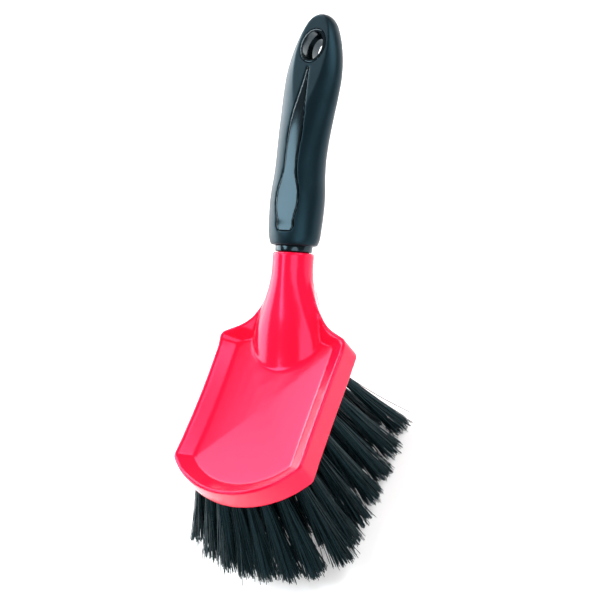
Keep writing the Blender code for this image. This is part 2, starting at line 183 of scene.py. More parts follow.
class HeadSettings(bpy.types.PropertyGroup):
    half_width: length_setting("Half-width", "Half the width of the rim at its corners", 40.7)
    front_sagitta: length_setting("Front arch", "How far the arched front stands out", 21.2)
    rim_width: length_setting("Rim width", "Width of the raised rim", 2.5)
    floor_depth: length_setting("Dish depth", "Depth of the dish floor at its edge", 5.5)
    socket_radius: length_setting("Socket radius", "Radius of the handle socket", 11.9)
    bore_radius: length_setting("Bore radius", "Radius of the bore for the tang", 8.3)
    voxel: length_setting("Mesh size", "Size of the mesh that blends the shapes", 0.62)
    colour: colour_setting("Colour", "Colour of the head", (0.88, 0.006, 0.040))


class HandleSettings(bpy.types.PropertyGroup):
    neck_radius: length_setting("Neck radius", "Radius of the ring under the grip", 10.75)
    grip_wall: length_setting("Sleeve wall", "Wall of the soft sleeve", 2.6)
    facet_height: length_setting("Facet height", "From the centre line to the flat facets", 7.8)
    eye_centre: length_setting("Eye position", "Distance of the hang eye from the socket", 119.0)
    eye_length: length_setting("Eye half-length", "Half-length of the hang hole", 9.0)
    eye_width: length_setting("Eye half-width", "Half-width of the hang hole", 6.2)
    eye_wall: length_setting("Eye lining", "Wall of the hard lining of the hole", 1.8)
    voxel: length_setting("Mesh size", "Size of the mesh that blends the shapes", 0.55)
    core_colour: colour_setting("Core colour", "Colour of the hard core", (0.0035, 0.0060, 0.0075))
    grip_colour: colour_setting("Grip colour", "Colour of the soft sleeve", (0.0030, 0.0065, 0.0090))


class BristleSettings(bpy.types.PropertyGroup):
    filaments: IntProperty(name="Filaments", description="Filaments in one tuft", default=140, min=1)
    filament_radius: length_setting("Filament radius", "Radius of one filament", 0.24)
    free_length: length_setting("Free length", "Length that stands out of the head", 56.5)
    root_radius: length_setting("Root radius", "Radius of a tuft where it leaves its hole", 2.35)
    tip_radius: length_setting("Tip radius", "Radius of a tuft at its tips", 6.9)
    colour: colour_setting("Colour", "Colour of the bristles", (0.0022, 0.0042, 0.0050))


class StudioSettings(bpy.types.PropertyGroup):
    floor_colour: colour_setting("Floor colour", "Colour of the floor", (0.93, 0.93, 0.93))
    surround: FloatProperty(name="Surround", description="Strength of the even light all round", default=0.18)
    lens: FloatProperty(name="Lens", description="Focal length of the camera in millimetres", default=120.0)


class BrushSettings(bpy.types.PropertyGroup):
    head: PointerProperty(name="Head", description="Moulded head", type=HeadSettings)
    handle: PointerProperty(name="Handle", description="Core and grip", type=HandleSettings)
    bristles: PointerProperty(name="Bristles", description="Tufts", type=BristleSettings)
    studio: PointerProperty(name="Studio", description="Floor, light and camera", type=StudioSettings)


def settings():
    return bpy.context.scene.wheel_brush


# ---------------------------------------------------------------- shader nodes


class Signal:
    """A value that changes over a surface; arithmetic on it adds Math nodes."""

    def __init__(self, finish, socket):
        self.finish = finish
        self.socket = socket

    def maths(self, operation, *values):
        return self.finish.node("ShaderNodeMath", {"operation": operation}, dict(enumerate(values)))

    def __add__(self, other):
        return self.maths("ADD", self, other)

    __radd__ = __add__

    def __mul__(self, other):
        return self.maths("MULTIPLY", self, other)

    def __sub__(self, other):
        return self.maths("SUBTRACT", self, other)


class Finish:
    """A material made of nodes on one Principled shader."""

    def __init__(self, name, **constants):
        self.material = bpy.data.materials.new(name)
        self.material.use_nodes = True
        self.tree = self.material.node_tree
        self.shader = self.tree.nodes["Principled BSDF"]
        for socket, value in constants.items():
            self.shader.inputs[socket.replace("_", " ")].default_value = value

    def feed(self, socket, value):
        """Links a signal to the socket, or sets its plain value."""
        if isinstance(value, Signal):
            self.tree.links.new(value.socket, socket)
        else:
            socket.default_value = value

    def node(self, kind, options=None, inputs=None, output=0):
        """A node of that type, with its settings made first and then its inputs; its output as a signal."""
        made = self.tree.nodes.new(kind)
        for name, value in (options or {}).items():
            setattr(made, name, value)
        for name, value in (inputs or {}).items():
            self.feed(made.inputs[name], value)
        return Signal(self, made.outputs[output])

    def place(self, scale=(1.0, 1.0, 1.0), turn=(0.0, 0.0, 0.0)):
        """Object coordinates, centred on the head frame, turned and scaled."""
        coordinates = self.node("ShaderNodeTexCoord", output="Object")
        inputs = {"Vector": coordinates, "Location": tuple(-ORIGIN), "Rotation": turn, "Scale": scale}
        return self.node("ShaderNodeMapping", {"vector_type": "POINT"}, inputs)

    def noise(self, where, scale, detail=2.0, roughness=0.5):
        inputs = {"Vector": where, "Scale": scale, "Detail": detail, "Roughness": roughness}
        return self.node("ShaderNodeTexNoise", {"noise_dimensions": "3D"}, inputs)

    def step(self, value, low, high):
        """0 below low and 1 above high, with a smooth step between."""
        options = {"interpolation_type": "SMOOTHSTEP"}
        return self.node("ShaderNodeMapRange", options, {"Value": value, "From Min": low, "From Max": high})

    def blend(self, share, first, second):
        """A colour between two others: the first where share is 0, the second where it is 1."""
        options = {"data_type": "RGBA", "blend_type": "MIX"}
        return self.node("ShaderNodeMix", options, {0: share, 6: first, 7: second}, 2)

    def bump(self, height, distance, strength):
        inputs = {"Height": height, "Distance": distance, "Strength": strength}
        return self.node("ShaderNodeBump", None, inputs)

    def dress(self, **inputs):
        """Feeds the shader's inputs, and gives the finished material."""
        for socket, value in inputs.items():
            self.feed(self.shader.inputs[socket.replace("_", " ")], value)
        return self.material


def tone(colour, factor):
    """The colour made lighter or darker, with its alpha."""
    return (*(min(channel * factor, 1.0) for channel in colour), 1.0)


def glossy_red():
    """Moulded polypropylene: a wet gloss with faint flow marks, a slight orange peel and hairline scuffs."""
    colour = settings().head.colour
    finish = Finish("moulded red plastic", Specular_IOR_Level=0.38, Specular_Tint=(1.0, 0.38, 0.90, 1.0))
    place = finish.place()
    flow = finish.noise(finish.place((1.0, 0.25, 1.0)), 45.0, 3.0)
    speck = finish.step(finish.noise(place, 700.0, 1.0), 0.68, 0.74)
    hairs = finish.noise(finish.place((9.0, 0.35, 9.0), (0.0, 0.0, math.radians(24))), 130.0, 4.0, 0.65)
    scuffs = finish.step(hairs, 0.62, 0.72)
    base = finish.blend(finish.step(flow, 0.3, 0.7), tone(colour, 0.93), tone(colour, 1.04))
    base = finish.blend(speck * 0.10, base, tone(colour, 0.6))
    peel = finish.noise(place, 420.0, 2.0) * 0.7 + scuffs * -0.05
    return finish.dress(
        Base_Color=base,
        Roughness=0.12 + flow * 0.05 + scuffs * 0.04,
        Normal=finish.bump(peel, 0.00002, 0.2),
    )


def glossy_black():
    """Hard polished plastic with a cool dark tone and fine handling scuffs."""
    colour = settings().handle.core_colour
    finish = Finish("polished black plastic", Specular_IOR_Level=0.45, Specular_Tint=(0.55, 0.84, 1.0, 1.0))
    place = finish.place()
    cloud = finish.noise(place, 60.0, 3.0)
    hairs = finish.noise(finish.place((10.0, 0.4, 10.0), (math.radians(24), 0.0, 0.0)), 150.0, 4.0, 0.65)
    scuffs = finish.step(hairs, 0.60, 0.72)
    base = finish.blend(cloud, tone(colour, 0.8), tone(colour, 1.3))
    peel = finish.noise(place, 500.0, 2.0)
    return finish.dress(
        Base_Color=base,
        Roughness=0.12 + cloud * 0.05 + scuffs * 0.06,
        Normal=finish.bump(peel, 0.00003, 0.3),
    )


def soft_black():
    """Soft-touch rubber: a satin face with a fine moulded grain, a little paler where hands rub it."""
    colour = settings().handle.grip_colour
    finish = Finish("soft black rubber", Specular_IOR_Level=0.3, Specular_Tint=(0.30, 0.75, 1.0, 1.0))
    place = finish.place()
    grain = finish.noise(place, 1500.0, 2.0, 0.6)
    cloud = finish.noise(place, 70.0, 4.0, 0.6)
    rubbed = finish.step(cloud, 0.45, 0.75)
    base = finish.blend(rubbed, tone(colour, 0.85), tone(colour, 1.5))
    base = finish.blend(finish.step(grain, 0.55, 0.8) * 0.5, base, tone(colour, 1.9))
    return finish.dress(
        Base_Color=base,
        Roughness=0.33 + cloud * 0.10 - rubbed * 0.04,
        Normal=finish.bump(grain, 0.00006, 0.45),
    )


def bristle_nylon():
    """Stiff nylon filament: near black with a cool sheen, each filament a random tone, the lightest ones
    painted highlights.
    """
    colour = settings().bristles.colour
    finish = Finish("bristle nylon", Specular_IOR_Level=0.28, Specular_Tint=(0.35, 0.85, 1.0, 1.0))
    tone_and_highlight = finish.node("ShaderNodeAttribute", {"attribute_name": "tone_and_highlight"}, output="Fac")
    along = finish.node("ShaderNodeAttribute", {"attribute_name": "along"}, output="Fac")
    grain = finish.noise(finish.place(), 900.0, 2.0)
    # Random tone of each filament, up to six times the colour: partly real variation, partly painted
    # highlight lines
    base = finish.blend(tone_and_highlight, tone(colour, 0.5), tone(colour, 6.0))
    base = finish.blend(finish.step(along, 0.90, 1.0) * 0.5, base, tone(colour, 3.2))
    return finish.dress(
        Base_Color=base,
        Roughness=0.18 + tone_and_highlight * 0.20 + grain * 0.06,
        Normal=finish.bump(grain, 0.00004, 0.3),
    )


def studio_floor():
    """A plain pale painted floor with an almost invisible roller texture."""
    glow = {"Emission_Strength": 0.25, "Emission_Color": (*WHITE, 1.0)}
    finish = Finish("pale floor", Specular_IOR_Level=0.15, **glow)
    place = finish.place()
    cloud = finish.noise(place, 4.0, 2.0)
    colour = settings().studio.floor_colour
    return finish.dress(
        Base_Color=finish.blend(cloud, tone(colour, 0.995), tone(colour, 1.005)),
        Roughness=0.75 + cloud * 0.05,
        Normal=finish.bump(finish.noise(place, 900.0, 1.0), 0.00005, 0.1),
    )


# ---------------------------------------------------------------- mesh helpers


def add_piece(name, bm):
    """The mesh as an object, moved from the head frame to its place in the world."""
    bmesh.ops.translate(bm, vec=ORIGIN, verts=bm.verts)
    bmesh.ops.recalc_face_normals(bm, faces=bm.faces)
    mesh = bpy.data.meshes.new(name)
    bm.to_mesh(mesh)
    bm.free()
    piece = bpy.data.objects.new(name, mesh)
    bpy.context.scene.collection.objects.link(piece)
    return piece


def settle(piece):
    """Applies the piece's modifiers to its mesh."""
    graph = bpy.context.evaluated_depsgraph_get()
    finished = bpy.data.meshes.new_from_object(piece.evaluated_get(graph))
    piece.modifiers.clear()
    piece.data = finished


def discard(pieces):
    for piece in pieces:
        bpy.data.objects.remove(piece, do_unlink=True)


def cut(piece, cutters, operation="DIFFERENCE"):
    """Cuts each of the cutters out of the piece, or joins it on, and removes the cutters."""
    for cutter in cutters:
        modifier = piece.modifiers.new(cutter.name, "BOOLEAN")
        modifier.operation = operation
        modifier.object = cutter
        modifier.solver = "MANIFOLD"
    settle(piece)
    discard(cutters)


def blend_shapes(piece, voxel, passes):
    """One even skin over the piece's shapes, with their edges softened."""
    remesh = piece.modifiers.new("skin", "REMESH")
    remesh.mode = "VOXEL"
    remesh.voxel_size = voxel
    soften = piece.modifiers.new("soften", "SMOOTH")
    soften.factor = 0.5
    soften.iterations = passes
    settle(piece)


def finish_piece(piece, material, slot_name, *nodes, sharp=35.0):
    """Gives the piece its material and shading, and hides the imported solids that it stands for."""
    mesh = piece.data
    mesh.materials.clear()
    mesh.materials.append(material)
    mesh.shade_smooth()
    mesh.set_sharp_from_angle(angle=math.radians(sharp))
    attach(piece, "root")
    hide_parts(*nodes)


def loft(rings, close=True):
    """(mesh, loops of edges) of a solid through rings of equal numbers of points, with a cap on each end."""
    bm = bmesh.new()
    loops = []
    for ring in rings:
        verts = [bm.verts.new(point) for point in ring]
        loops.append([bm.edges.new((a, b)) for a, b in zip(verts, verts[1:] + verts[:1])])
    for first, second in zip(loops, loops[1:]):
        bmesh.ops.bridge_loops(bm, edges=first + second)
    if close:
        for loop in (loops[0], loops[-1]):
            bmesh.ops.contextual_create(bm, geom=loop)
    return bm, loops


def ellipse(centre, across, up, half_width, half_height, steps):
    turn = [2 * math.pi * step / steps for step in range(steps)]
    return [centre + across * half_width * math.cos(a) + up * half_height * math.sin(a) for a in turn]


def smooth_step(value, low, high):
    """0 below low and 1 above high, with a smooth step between."""
    share = min(max((value - low) / (high - low), 0.0), 1.0)
    return share * share * (3 - 2 * share)


def curve_through(stations, values, at):
    """A smooth curve through the values, read at the places asked for."""
    stations, values, at = (np.asarray(row, float) for row in (stations, values, at))
    slope = np.gradient(values, stations)
    index = np.clip(np.searchsorted(stations, at) - 1, 0, len(stations) - 2)
    span = stations[index + 1] - stations[index]
    t = np.clip((at - stations[index]) / span, 0.0, 1.0)
    rise = (t**3 - 2 * t**2 + t) * slope[index] * span + (t**3 - t**2) * slope[index + 1] * span
    return (2 * t**3 - 3 * t**2 + 1) * values[index] + (3 * t**2 - 2 * t**3) * values[index + 1] + rise


def resample(points, count):
    """The same line with evenly spaced points."""
    rows = np.array([tuple(point) for point in points])
    length = np.concatenate([[0.0], np.cumsum(np.linalg.norm(np.diff(rows, axis=0), axis=1))])
    at = np.linspace(0.0, length[-1], count + 1)
    return [Vector(row) for row in np.stack([np.interp(at, length, rows[:, k]) for k in (0, 1)], axis=1)]


def fillet(before, corner, after, radius):
    """The arc that rounds a corner."""
    back, ahead = (before - corner).normalized(), (after - corner).normalized()
    half = back.angle(ahead) / 2
    centre = corner + (back + ahead).normalized() * radius / math.sin(half)
    spoke = corner + back * radius / math.tan(half) - centre
    turn = math.copysign(math.pi - 2 * half, back.cross(ahead)) / -FILLET_STEPS
    return [centre + Matrix.Rotation(turn * step, 2) @ spoke for step in range(FILLET_STEPS + 1)]


# ---------------------------------------------------------------- head


def socket_point(distance, x=0.0, height=0.0):
    """A point in the socket's own axes: down from its end, sideways, and square to its top."""
    down = Vector((0.0, -math.cos(SOCKET_TILT), -math.sin(SOCKET_TILT)))
    up = Vector((0.0, -math.sin(SOCKET_TILT), math.cos(SOCKET_TILT)))
    return SOCKET_END + down * distance + up * height + ACROSS * x


def arch(y):
    """The squared distance from the middle of the sides, 1 at their ends."""
    return ((y / MM - SIDE_MIDDLE) / SIDE_MIDDLE) ** 2


def underside_slope(y):
    """Height of the slanted underside below the socket."""
    return 7.6 * MM + (y - SOCKET_END_Y * MM) * math.tan(SOCKET_TILT)


def crest_height(y):
    """Height of the rim: it sags a little along the sides, then bends and rises beside the socket."""
    side = 0.875 * arch(min(y, 80 * MM))
    foot, bend = 2.7, 1.5
    slant = 23.9 + (y / MM - SOCKET_END_Y) * CREST_SLOPE
    back = foot + math.log1p(math.exp((slant - foot) / bend)) * bend
    share = smooth_step(y / MM, 74.0, 83.0)
    return (side + (back - side) * share) * MM


def floor_height(y):
    """Height of the edge of the dish floor."""
    return -settings().head.floor_depth + 0.6 * MM * arch(min(y, 84 * MM))


def base_height(y):
    """Height of the underside: nearly flat, then slanted below the socket."""
    low = -15.4 + 0.46 * arch(min(max(y, 0.0), 78 * MM)) + 0.9 * smooth_step(y / MM, 70.0, 82.0)
    return max(low * MM, underside_slope(y))


def front_circle():
    """(radius, y of its centre) of the circle that the arched front of the rim lies on."""
    head = settings().head
    radius = (head.half_width**2 + head.front_sagitta**2) / (2 * head.front_sagitta)
    return radius, radius - head.front_sagitta


def head_half(side, front, corner_radius, back, back_radius):
    """The right half of an outline, from the front to the neck, drawn in by side and front from the rim's."""
    half_width = settings().head.half_width - side
    front_radius, centre_y = front_circle()
    reach = front_radius - front
    turns = np.linspace(0.01, math.asin(half_width / reach), ARC_POINTS)
    arc = [Vector((reach * math.sin(a), centre_y - reach * math.cos(a))) for a in turns]
    sides = []
    back_corner, *shoulder = [Vector(point) * MM for point in back]
    for share in np.linspace(0.0, 1.0, SIDE_POINTS)[1:-1]:
        tuck = WAIST * (1 - (2 * share - 1) ** 2)
        sides.append(Vector((half_width - tuck, arc[-1].y + (back_corner.y - arc[-1].y) * share)))
    first = fillet(arc[-2], arc[-1], sides[0], corner_radius)
    second = fillet(sides[-1], back_corner, shoulder[0], back_radius)
    arc = [point for point in arc if (point - arc[-1]).length > (first[0] - arc[-1]).length]
    sides = [point for point in sides if first[-1].y < point.y < second[0].y]
    stations = range(len(shoulder))
    at = np.linspace(0.0, len(shoulder) - 1, CURVE_POINTS)
    curve = [curve_through(stations, [point[k] for point in shoulder], at) for k in (0, 1)]
    curve = [Vector(point) for point in zip(*curve)]
    curve = [point for point in curve if point.y > second[-1].y]
    middle = len(first) // 2
    front_part = resample([*arc, *first[: middle + 1]], FRONT_STEPS)
    side_part = resample([*first[middle:], *sides, *second[: middle + 1]], SIDE_STEPS)
    shoulder_part = resample([*second[middle:], *curve], SHOULDER_STEPS)
    return [*front_part, *side_part[1:], *shoulder_part[1:]]


def drawn_in(points, distances):
    """An open line moved to its left by a distance for each point."""
    rows = np.array([tuple(point) for point in points])
    along = np.gradient(rows, axis=0)
    along /= np.linalg.norm(along, axis=1)[:, None]
    moved = rows + np.stack([-along[:, 1], along[:, 0]], axis=1) * np.asarray(distances)[:, None]
    return [tuple(row) for row in moved]


def between(first, second, share):
    return [a.lerp(b, share) for a, b in zip(first, second)]


def raised(height, by):
    """The same heights, moved up by so many millimetres."""
    return lambda y: height(y) + by * MM


def full_ring(half, height):
    """The whole ring of a half outline, at the heights that a function of y gives."""
    right = [Vector((point.x, point.y, height(point.y))) for point in half]
    return right + [Vector((-point.x, point.y, point.z)) for point in reversed(right)]


def close_across(bm, loop, half):
    """Caps a ring with faces that run straight across, from its right half to its left."""
    right, left = loop[: half - 1], loop[half : 2 * half - 1]
    bmesh.ops.bridge_loops(bm, edges=right + left)


def tray_shape():
    """The dished head with its rounded rim and its shoulders, up to the neck."""
    rim = settings().head.rim_width
    outer = head_half(0.0, 0.0, 7.0 * MM, SHOULDER, 4.5 * MM)
    shoulder_inset = np.interp(np.arange(len(SHOULDER)), [0, 2, 6], [rim / MM, 2.3, 1.5])
    inner_back = drawn_in(SHOULDER, shoulder_inset)
    inner = head_half(rim, rim, 4.8 * MM, inner_back, 3.2 * MM)
    floor = head_half(FLOOR_INSET, FLOOR_INSET, 2.2 * MM, FLOOR_BACK, 5.0 * MM)
    base = [drafted(point) for point in head_half(0.0, 0.0, 4.5 * MM, SHOULDER_BASE, 4.5 * MM)]
    profile = [
        (between(base, inner, 0.2), base_height),
        (between(base, inner, 0.05), raised(base_height, 0.15)),
        (base, raised(base_height, 0.7)),
        (outer, raised(crest_height, -0.9)),
        (between(outer, inner, 0.1), raised(crest_height, -0.36)),
        (between(outer, inner, 0.36), crest_height),
        (between(outer, inner, 0.64), crest_height),
        (between(outer, inner, 0.9), raised(crest_height, -0.36)),
        (between(inner, floor, 0.06), raised(crest_height, -0.9)),
        (between(inner, floor, 0.86), raised(floor_height, 0.65)),
        (between(inner, floor, 0.95), raised(floor_height, 0.2)),
        (floor, raised(floor_height, 0.06)),
    ]
    for share in BOWL_SHARES:
        ring = [point.lerp(DISH_MIDDLE, share) for point in floor]
        profile.append((ring, sunk_floor(1 - (1 - share) ** 2)))
    bm, loops = loft([full_ring(half, height) for half, height in profile], close=False)
    for loop in (loops[0], loops[-1]):
        close_across(bm, loop, len(outer))
    return add_piece("tray", bm)


def drafted(point):
    """Where a point of the rim comes down to at the base: the sides stand out, the front draws in."""
    return Vector((point.x * BASE_SPREAD, point.y + BASE_TUCK * smooth_step(-point.y / MM, 0.0, 20.0)))


def sunk_floor(share):
    """Heights of a ring of the dish floor, which is a shallow bowl."""
    return lambda y: floor_height(y) - FLOOR_SAG * share


def bell_ring(distance, shrink=0.0):
    """A section of the socket: round at its end, then wider and flatter, but never through the base."""
    radius = settings().head.socket_radius - shrink
    flare = SOCKET_FLARE * smooth_step(distance / MM, 8.0, 52.0)
    ring = []
    for step in range(ROUND_STEPS):
        angle = 2 * math.pi * step / ROUND_STEPS
        height = radius - 0.9 * MM * smooth_step(distance / MM, 35.0, 62.0)
        point = socket_point(distance, (radius + flare) * math.cos(angle), height * math.sin(angle))
        point.z = max(point.z, base_height(point.y) + 0.3 * MM)
        ring.append(point)
    return ring


def socket_shape():
    """The slanted socket, from its rounded lip down into the dish."""
    rings = [bell_ring(distance * MM, shrink * MM) for distance, shrink in SOCKET_LIP]
    rings += [bell_ring(distance * MM) for distance in np.arange(2.0, 73.0, 1.5)]
    return add_piece("socket", loft(rings)[0])


def rod(name, start, end, radius, steps):
    """A straight round rod between two points."""
    along = (end - start).normalized()
    side = along.orthogonal().normalized()
    rings = [ellipse(point, side, along.cross(side), radius, radius, steps) for point in (start, end)]
    return add_piece(name, loft(rings)[0])


def soften_junction(head, shapes, reach, passes):
    """Smooths the head only where two of its shapes meet, as a moulded fillet."""
    graph = bpy.context.evaluated_depsgraph_get()
    trees = [BVHTree.FromObject(shape, graph) for shape in shapes]
    group = head.vertex_groups.new(name="junction")
    for vertex in head.data.vertices:
        away = max(tree.find_nearest(vertex.co)[3] for tree in trees)
        if away < reach:
            group.add([vertex.index], 1 - smooth_step(away, 0.35 * reach, reach), "REPLACE")
    soften = head.modifiers.new("fillet", "SMOOTH")
    soften.vertex_group = group.name
    soften.factor = 0.5
    soften.iterations = passes
    settle(head)
    head.vertex_groups.clear()


def join(first, *others):
    """One object that holds the meshes of several."""
    bm = bmesh.new()
    for piece in (first, *others):
        bm.from_mesh(piece.data)
    bm.to_mesh(first.data)
    bm.free()


class WHEELBRUSH_OT_head(bpy.types.Operator):
    """Build the moulded head with its dish, shoulders, socket and tuft holes"""

    bl_idname = "wheel_brush.head"
    bl_label = "Head"

    def execute(self, context):
        values = context.scene.wheel_brush.head
        hole_radius = context.scene.wheel_brush.bristles.root_radius + HOLE_ROOM * MM
        tray, socket = tray_shape(), socket_shape()
        head = add_piece("head_shell", bmesh.new())
        join(head, tray, socket)
        blend_shapes(head, values.voxel, passes=4)
        soften_junction(head, (tray, socket), reach=3.0 * MM, passes=22)
        discard((tray, socket))
        cutters = [rod("bore", socket_point(-2 * MM), socket_point(BORE_DEPTH), values.bore_radius, 64)]
        for _, _, root, direction, _ in tuft_places():
            start, end = root - direction * HOLE_DEPTH * MM, root + direction * HOLE_START * MM
            cutters.append(rod("hole", start, end, hole_radius, 20))
        cut(head, cutters)
        finish_piece(head, glossy_red(), "head_red", "brush_head")
        return {"FINISHED"}


# ---------------------------------------------------------------- handle


def handle_angle(distance):
    """The slope of the handle's centre line at a distance from the socket's end."""
    angle = HANDLE_BENDS[0][2]
    for start, end, before, after in HANDLE_BENDS:
        angle += (after - before) * smooth_step(distance / MM, start, end)
    return math.radians(angle)


def handle_frame(distance):
    """(centre, up) of the handle at a distance from the socket's end."""
    centre = socket_point(0.0)
    steps = max(1, int(abs(distance) / MM))
    for step in range(steps):
        angle = handle_angle((step + 0.5) / steps * distance)
        centre += Vector((0.0, math.cos(angle), math.sin(angle))) * distance / steps
    angle = handle_angle(distance)
    return centre, Vector((0.0, -math.sin(angle), math.cos(angle)))


def handle_ring(distance, half_width, half_height, steps=ROUND_STEPS):
    """A section of the handle, square to its centre line."""
    centre, up = handle_frame(distance)
    return ellipse(centre, ACROSS, up, half_width, half_height, steps)


def grip_size(distance):
    """(half-width, half-height) of the grip at a distance from the socket's end."""
    stations, widths, heights = zip(*GRIP_SECTIONS)
    at = distance / MM
    return tuple(float(curve_through(stations, row, [at])[0]) * MM for row in (widths, heights))


def core_bar(start, grow):
    """Rings of the hard core inside the grip, which stay below the facets, or of the room for it."""
    values = settings().handle
    wall = values.grip_wall
    rings = []
    stations = [float(station) * MM for station in np.arange(5.0, CORE_END / MM - 1.0, 2.0)]
    for distance in (start, *stations, CORE_END + grow):
        width, height = grip_size(max(distance, 4.5 * MM))
        height = min(height - wall, CORE_COVER - (distance - values.eye_centre) * math.tan(FACET_TILT))
        rings.append(handle_ring(distance, width - wall + grow, height + grow, 64))
    return rings


def strip_rings(grow, proud):
    """The glossy strip from inside the core up to the face of the grip, or the window for it."""
    stations, widths = zip(*STRIP)
    rings = []
    for position in np.linspace(stations[0] * MM - grow, stations[-1] * MM + grow, STRIP_SECTIONS):
        centre, up = handle_frame(position)
        width, height = grip_size(position)
        reach = float(curve_through(stations, widths, [position / MM])[0]) * MM + grow
        ring = [centre + up * (height - STRIP_FOOT) + ACROSS * x for x in (-reach, reach)]
        flush = height * math.sqrt(1 - (reach / width) ** 2)
        for share in np.linspace(1.0, -1.0, STRIP_POINTS):
            crown = STRIP_CROWN * reach * (1 - share**2)
            ring.append(centre + up * (flush + crown + proud) + ACROSS * share * reach)
        rings.append(ring)
    return rings


def eye_plug(name, grow, from_below=EYE_REACH):
    """An oval plug through the hang eye, square to the handle, wider than the hole by grow on each side."""
    values = settings().handle
    centre, up = handle_frame(values.eye_centre)
    along = ACROSS.cross(up)
    length, width = values.eye_length + grow, values.eye_width + grow
    ends = [centre + up * level for level in (-from_below, EYE_REACH)]
    rings = [ellipse(end, along, ACROSS, length, width, EYE_STEPS) for end in ends]
    return add_piece(name, loft(rings)[0])


def facet_blocks():
    """Blocks that plane the flat facets round the hang hole, on the top and on the underside."""
    values = settings().handle
    centre, up = handle_frame(values.eye_centre)
    slope = math.atan2(-up.y, up.z)
    forward = FACET_BLOCK / 2 - (values.eye_centre - FACET_START)
    blocks = []
    for name, side in (("top facet", 1), ("under facet", -1)):
        bm = bmesh.new()
        bmesh.ops.create_cube(bm, size=FACET_BLOCK)
        bmesh.ops.translate(bm, vec=(0.0, forward, side * FACET_BLOCK / 2), verts=bm.verts)
        turn = Matrix.Rotation(slope - side * FACET_TILT, 3, "X")
        bmesh.ops.rotate(bm, cent=(0, 0, 0), matrix=turn, verts=bm.verts)
        bmesh.ops.translate(bm, vec=centre + up * values.facet_height * side, verts=bm.verts)
        blocks.append(add_piece(name, bm))
    return blocks


class WHEELBRUSH_OT_core(bpy.types.Operator):
    """Build the hard core: tang, neck ring, glossy strip and the lining of the hang eye"""

    bl_idname = "wheel_brush.core"
    bl_label = "Handle core"

    def execute(self, context):
        values = context.scene.wheel_brush.handle
        up = socket_point(0, 0, 1) - socket_point(0)
        ends = [socket_point(distance) for distance in (TANG_LENGTH, -MM)]
        tang = [ellipse(end, ACROSS, up, TANG_RADIUS, TANG_RADIUS, 64) for end in ends]
        core = add_piece("handle_hard_core", loft(tang)[0])
        neck = []
        for distance, grow in NECK_PROFILE:
            radius = values.neck_radius + grow * MM
            neck.append(handle_ring(distance * MM, radius, radius))
        shapes = [
            add_piece("neck", loft(neck)[0]),
            add_piece("bar", loft(core_bar(CORE_START, 0.0))[0]),
            add_piece("strip", loft(strip_rings(0.0, 0.0))[0]),
            eye_plug("eye wall", values.eye_wall),
        ]
        cut(core, shapes, "UNION")
        cut(core, facet_blocks())
        blend_shapes(core, values.voxel, passes=2)
        cut(core, [eye_plug("eye hole", 0.0, from_below=EYE_LEDGE_DEPTH), eye_plug("eye foot", -EYE_LEDGE)])
        finish_piece(core, glossy_black(), "handle_black", "handle_core")
        return {"FINISHED"}


class WHEELBRUSH_OT_grip(bpy.types.Operator):
    """Build the soft sleeve moulded over the core"""

    bl_idname = "wheel_brush.grip"
    bl_label = "Soft grip"

    def execute(self, context):
        values = context.scene.wheel_brush.handle
        stations = [4.0, 4.3, 4.7, 5.2, 6.0, *np.arange(7.0, 137.5, 1.3), 138.0, 139.0, 139.8, 140.2, 140.5]
        rings = [handle_ring(station * MM, *grip_size(station * MM)) for station in stations]
        grip = add_piece("grip_sleeve", loft(rings)[0])
        cutters = [
            *facet_blocks(),
            add_piece("core room", loft(core_bar(ROOM_START, PIECE_GAP))[0]),
            add_piece("strip window", loft(strip_rings(PIECE_GAP, 3 * MM))[0]),
        ]
        cut(grip, cutters)
        blend_shapes(grip, values.voxel, passes=2)
        cut(grip, [eye_plug("eye room", values.eye_wall + PIECE_GAP)])
        finish_piece(grip, soft_black(), "grip_soft", "soft_grip")
        return {"FINISHED"}


# ---------------------------------------------------------------- tufts


def front_row_y(x):
    """Where the arched front row lies, at a distance from the middle."""
    radius, centre_y = front_circle()
    return centre_y - math.sqrt((radius - FRONT_INSET * MM) ** 2 - x**2)


def tuft_places():
    """(row, column, root, direction, extra length) of every tuft, from the back row to the arched front."""
    places = []
    for row in range(6):
        y = (BACK_ROW_Y - row * ROW_PITCH) * MM
        places += [(row + 1, column + 1, (column - 3) * COLUMN_PITCH * MM, y) for column in range(7)]
    places += [(7, column + 1, (column - 1.5) * COLUMN_PITCH * MM, SHORT_ROW_Y * MM) for column in range(4)]
    for column in range(8):
        x = (column - 3.5) * FRONT_PITCH * MM
        places.append((8, column + 1, x, front_row_y(x)))
    for row, column, x, y in places:
        forward, aside = (BACK_ROW_Y * MM - y) / (FIELD_LENGTH * MM), x / (FIELD_HALF_WIDTH * MM)
        direction = Vector((FAN_ASIDE * aside + LEAN_RIGHT, -FAN_FORWARD * forward, -1.0)).normalized()
        longer = LONGER_RIGHT * aside + LONGER_SIDES * aside**2 - SHORTER_FRONT * forward
        yield row, column, Vector((x, y, -UNDERSIDE_DEPTH)), direction, longer * MM


def filament_bundle(count):
    """Copies of one slim filament that runs from 0 to 1 along Z, five-sided and in seven stretches."""
    one = bmesh.new()
    bmesh.ops.create_cone(one, cap_ends=True, segments=5, radius1=1.0, radius2=1.0, depth=1.0)
    bmesh.ops.translate(one, vec=(0.0, 0.0, 0.5), verts=one.verts)
    length = [edge for edge in one.edges if abs(edge.verts[0].co.z - edge.verts[1].co.z) > 0.5]
    bmesh.ops.subdivide_edges(one, edges=length, cuts=6, use_grid_fill=True)
    template = bpy.data.meshes.new("filament")
    one.to_mesh(template)
    one.free()
    bundle = bmesh.new()
    for _ in range(count):
        bundle.from_mesh(template)
    bpy.data.meshes.remove(template)
    mesh = bpy.data.meshes.new("bundle")
    bundle.to_mesh(mesh)
    bundle.free()
    return mesh


